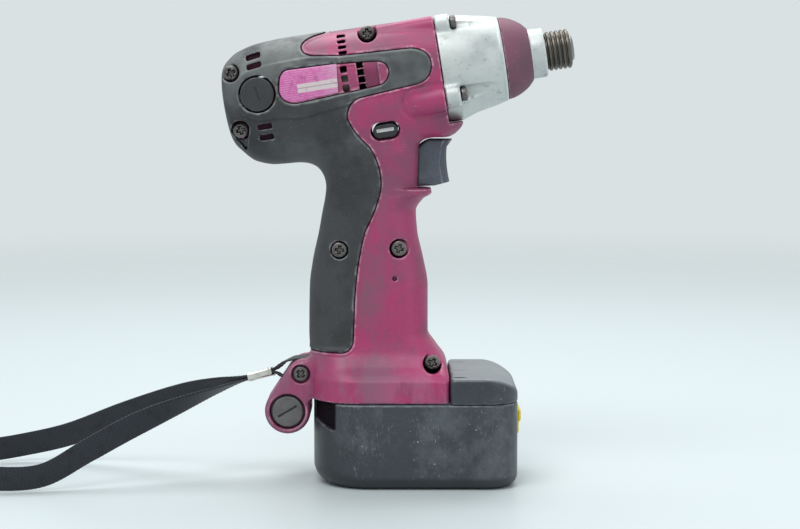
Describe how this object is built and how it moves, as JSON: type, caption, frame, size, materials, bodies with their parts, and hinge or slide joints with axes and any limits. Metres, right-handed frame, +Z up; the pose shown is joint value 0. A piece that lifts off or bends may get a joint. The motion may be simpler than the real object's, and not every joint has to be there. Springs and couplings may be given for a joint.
{
  "type": "cordless impact driver",
  "caption": "Pistol-grip cordless impact driver with a slide-out battery, hex bit chuck, working trigger, reverse button, hammer and planetary gear, and a wrist strap.",
  "frame": {"origin": "middle of the battery's flat bottom, on the surface the tool stands on", "axes": "+Z up, +X towards the nose, mirror plane Y = 0; the barrel points 8.9 degrees up from +X"},
  "size_m": [0.3169, 0.0788, 0.2322],
  "materials": {
    "housing": "glass-filled nylon, satin and rubbed",
    "soft_grip": "overmoulded elastomer, fine grain",
    "plate": "printed film",
    "dark_screws": "black oxide",
    "cast_alloy": "tumbled casting, pitted",
    "bumper": "moulded rubber",
    "dark_steel": "hardened, oiled",
    "bronze": "turned",
    "steel": "ground",
    "copper_windings": "enamelled wire",
    "magnets": "sintered ferrite",
    "dark_plastic": "moulded",
    "carbon": "pressed carbon",
    "trigger": "worn satin",
    "battery_case": "scuffed",
    "cell_wrap": "shrink sleeve",
    "latch": "moulded",
    "webbing": "woven polyester webbing",
    "crimp": "pressed band"
  },
  "bodies": {
    "housing": {"housing_right": "housing", "housing_left": "housing", "grip_right": "soft_grip", "grip_left": "soft_grip", "rating_plate": "plate", "housing_screw_rear_top": "dark_screws", "housing_screw_rear_bottom": "dark_screws", "housing_screw_top": "dark_screws", "housing_screw_grip_rear": "dark_screws", "housing_screw_grip_front": "dark_screws", "housing_screw_base_front": "dark_screws", "housing_screw_lug": "dark_screws", "case_screw_1": "dark_screws", "case_screw_2": "dark_screws", "case_screw_3": "dark_screws", "case_screw_4": "dark_screws", "hammer_case": "cast_alloy", "nose_bumper": "bumper", "anvil_bush": "bronze", "bearing_plate": "cast_alloy", "spindle_bearing": "steel", "ring_gear": "steel", "motor_yoke": "dark_steel", "magnet_top": "magnets", "magnet_bottom": "magnets", "rear_bearing": "steel", "carbon_brush_right": "carbon", "carbon_brush_left": "carbon", "brush_cap_right": "dark_plastic", "brush_cap_left": "dark_plastic", "switch_body": "dark_plastic", "terminal_block": "dark_plastic", "hook_screw": "dark_plastic", "wrist_strap": "webbing", "strap_crimp": "crimp"},
    "spindle": {"spindle": "steel"},
    "planet_right": {"planet_gear_right": "steel"},
    "planet_left": {"planet_gear_left": "steel"},
    "rotor": {"motor_shaft": "steel", "armature": "copper_windings", "fan": "dark_plastic"},
    "spring_seat": {"spring_washer": "steel", "hammer_spring": "steel"},
    "hammer": {"hammer": "steel", "cam_ball_right": "steel", "cam_ball_left": "steel"},
    "anvil": {"anvil": "dark_steel", "sleeve_spring": "steel"},
    "guide_sleeve": {"guide_sleeve": "dark_steel"},
    "bit_ball_right": {"bit_ball_right": "steel"},
    "bit_ball_left": {"bit_ball_left": "steel"},
    "trigger": {"trigger": "trigger"},
    "reverse_button": {"reverse_button": "dark_plastic"},
    "battery": {"battery_lower": "battery_case", "battery_upper": "battery_case", "cell_pack": "cell_wrap", "battery_contact_plus": "bronze", "battery_contact_minus": "bronze"},
    "latch": {"battery_latch": "latch"}
  },
  "joints": [
    {"name": "spindle_spin", "type": "hinge", "parent": "housing", "child": "spindle", "pos_m": [0.0118, 0, 0.205], "axis": [0.988, 0, 0.1547], "continuous": true},
    {"name": "rotor_spin", "type": "hinge", "parent": "housing", "child": "rotor", "pos_m": [0.0118, 0, 0.205], "axis": [0.988, 0, 0.1547], "continuous": true},
    {"name": "planet_right_spin", "type": "hinge", "parent": "spindle", "child": "planet_right", "pos_m": [0.0118, -0.0108, 0.205], "axis": [0.988, 0, 0.1547], "continuous": true},
    {"name": "planet_left_spin", "type": "hinge", "parent": "spindle", "child": "planet_left", "pos_m": [0.0118, 0.0108, 0.205], "axis": [0.988, 0, 0.1547], "continuous": true},
    {"name": "hammer_turn", "type": "hinge", "parent": "spindle", "child": "spring_seat", "pos_m": [0.0118, 0, 0.205], "axis": [0.988, 0, 0.1547], "range_deg": [-41, 0]},
    {"name": "hammer_retract", "type": "slide", "parent": "spring_seat", "child": "hammer", "axis": [-0.988, 0, -0.1547], "range_m": [0, 0.007], "stiffness_N_per_m": 3000, "springref_m": -0.002, "deforming": ["hammer_spring"]},
    {"name": "anvil_spin", "type": "hinge", "parent": "housing", "child": "anvil", "pos_m": [0.0118, 0, 0.205], "axis": [0.988, 0, 0.1547], "continuous": true},
    {"name": "sleeve_slide", "type": "slide", "parent": "anvil", "child": "guide_sleeve", "axis": [0.988, 0, 0.1547], "range_m": [0, 0.006], "stiffness_N_per_m": 400, "springref_m": -0.002, "deforming": ["sleeve_spring"]},
    {"name": "bit_ball_right_out", "type": "slide", "parent": "anvil", "child": "bit_ball_right", "axis": [0, -1, 0], "range_m": [0, 0.0008]},
    {"name": "bit_ball_left_out", "type": "slide", "parent": "anvil", "child": "bit_ball_left", "axis": [0, 1, 0], "range_m": [0, 0.0008]},
    {"name": "trigger_pull", "type": "slide", "parent": "housing", "child": "trigger", "axis": [-1, 0, 0], "range_m": [0, 0.0065], "stiffness_N_per_m": 600, "springref_m": -0.002},
    {"name": "reverse_push", "type": "slide", "parent": "housing", "child": "reverse_button", "axis": [0, 1, 0], "range_m": [-0.00275, 0.00275]},
    {"name": "battery_slide", "type": "slide", "parent": "housing", "child": "battery", "axis": [0, 0, -1], "range_m": [0, 0.07]},
    {"name": "latch_press", "type": "slide", "parent": "battery", "child": "latch", "axis": [-1, 0, 0], "range_m": [0, 0.0025], "stiffness_N_per_m": 800, "springref_m": -0.001}
  ],
  "couplings": [
    {"joint": "rotor_spin", "follows": "spindle_spin", "ratio": 5.3333},
    {"joint": "planet_right_spin", "follows": "spindle_spin", "ratio": -2.6},
    {"joint": "planet_left_spin", "follows": "spindle_spin", "ratio": -2.6},
    {"joint": "anvil_spin", "follows": "spindle_spin", "ratio": 1},
    {"joint": "hammer_turn", "follows": "hammer_retract", "rad_per_m": -99.733},
    {"joint": "bit_ball_right_out", "follows": "sleeve_slide", "ratio": 0.11667},
    {"joint": "bit_ball_left_out", "follows": "sleeve_slide", "ratio": 0.11667}
  ]
}
